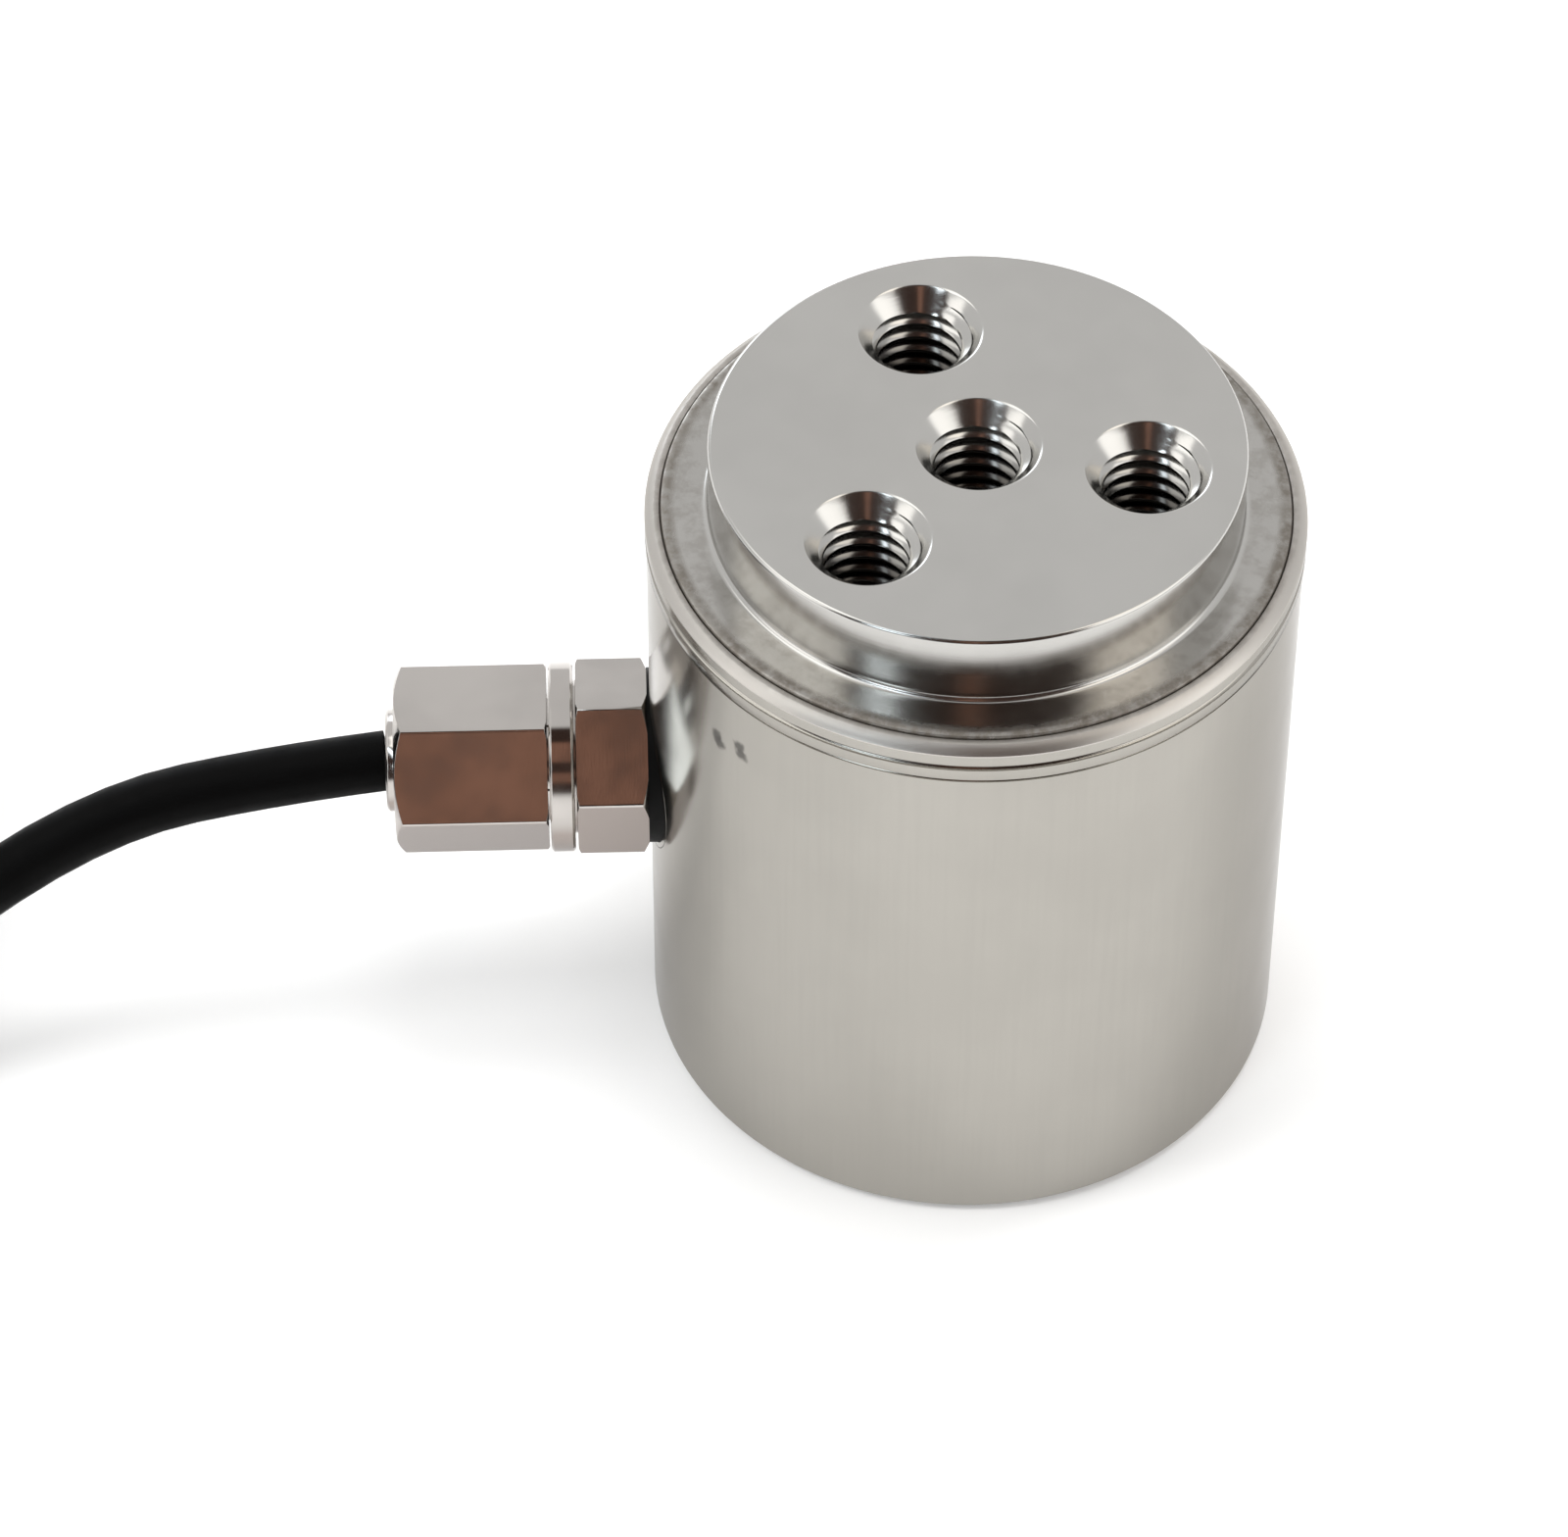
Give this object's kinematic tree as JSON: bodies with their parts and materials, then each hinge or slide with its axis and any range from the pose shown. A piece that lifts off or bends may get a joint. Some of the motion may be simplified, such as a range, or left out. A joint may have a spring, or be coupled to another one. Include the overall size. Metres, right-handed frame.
{
  "type": "column load cell",
  "caption": "Canister column load cell: a one-piece steel spool in a thin round shell, tapped at both ends, with a hexagonal cable gland at the side and a free cable in a tied coil.",
  "frame": {"origin": "centre of the spool's flat bottom face, which is also the centre of the lower hole circle", "axes": "+Z along the column's axis, from the base to the boss; the cable gland points along -X, and +Y is the far side as the picture is seen"},
  "size_m": [0.1807, 0.0662, 0.061],
  "materials": {
    "spool_steel": "satin turned stainless steel, fine circular marks",
    "shell_steel": "satin stainless steel, bright turned rim",
    "gland_plating": "bright nickel plate on brass",
    "washer_steel": "plain bright steel",
    "seal_rubber": "matt black rubber",
    "cable_jacket": "black sheath, slightly satin",
    "tie_plastic": "black nylon band",
    "sleeve_plastic": "matt black shrunk sleeve",
    "insulation_red": "smooth red insulation",
    "insulation_black": "smooth black insulation",
    "insulation_green": "smooth green insulation",
    "insulation_white": "smooth white insulation",
    "tinned_copper": "bright tinned wire",
    "gauge_foil": "amber film with metal foil under it",
    "terminal_laminate": "tan laminate",
    "fine_wire": "enamelled fine wire",
    "pad_plastic": "dark grey insulating sheet",
    "board_laminate": "green board laminate",
    "resistor_body": "glazed blue with metal end caps"
  },
  "bodies": {
    "root": {"elastic_element": "spool_steel", "outer_shell": "shell_steel", "entry_bush": "shell_steel", "seal_ring": "seal_rubber", "gland_body": "gland_plating", "gland_seal": "seal_rubber", "slip_washer": "washer_steel", "pressure_nut": "gland_plating", "cable_inner": "cable_jacket", "inner_core_red": "insulation_red", "inner_core_black": "insulation_black", "inner_core_green": "insulation_green", "inner_core_white": "insulation_white", "inner_core_drain": "tinned_copper", "strain_gauge_1": "gauge_foil", "strain_gauge_2": "gauge_foil", "strain_gauge_3": "gauge_foil", "strain_gauge_4": "gauge_foil", "gauge_terminal_1": "terminal_laminate", "gauge_terminal_2": "terminal_laminate", "gauge_terminal_3": "terminal_laminate", "gauge_terminal_4": "terminal_laminate", "gauge_wires_1": "fine_wire", "gauge_wires_2": "fine_wire", "gauge_wires_3": "fine_wire", "gauge_wires_4": "fine_wire", "board_pad_left": "pad_plastic", "board_pad_right": "pad_plastic", "bridge_board_left": "board_laminate", "bridge_board_right": "board_laminate", "solder_pins_left": "tinned_copper", "solder_pins_right": "tinned_copper", "trim_resistor_1": "resistor_body", "trim_resistor_2": "resistor_body", "trim_resistor_3": "resistor_body", "cable": "cable_jacket", "cable_coil": "cable_jacket", "coil_tie_1": "tie_plastic", "coil_tie_2": "tie_plastic", "cable_tail": "cable_jacket", "end_sleeve": "sleeve_plastic", "lead_red": "insulation_red", "lead_black": "insulation_black", "lead_green": "insulation_green", "lead_white": "insulation_white", "lead_drain": "tinned_copper", "lead_tips": "tinned_copper"}
  },
  "joints": []
}
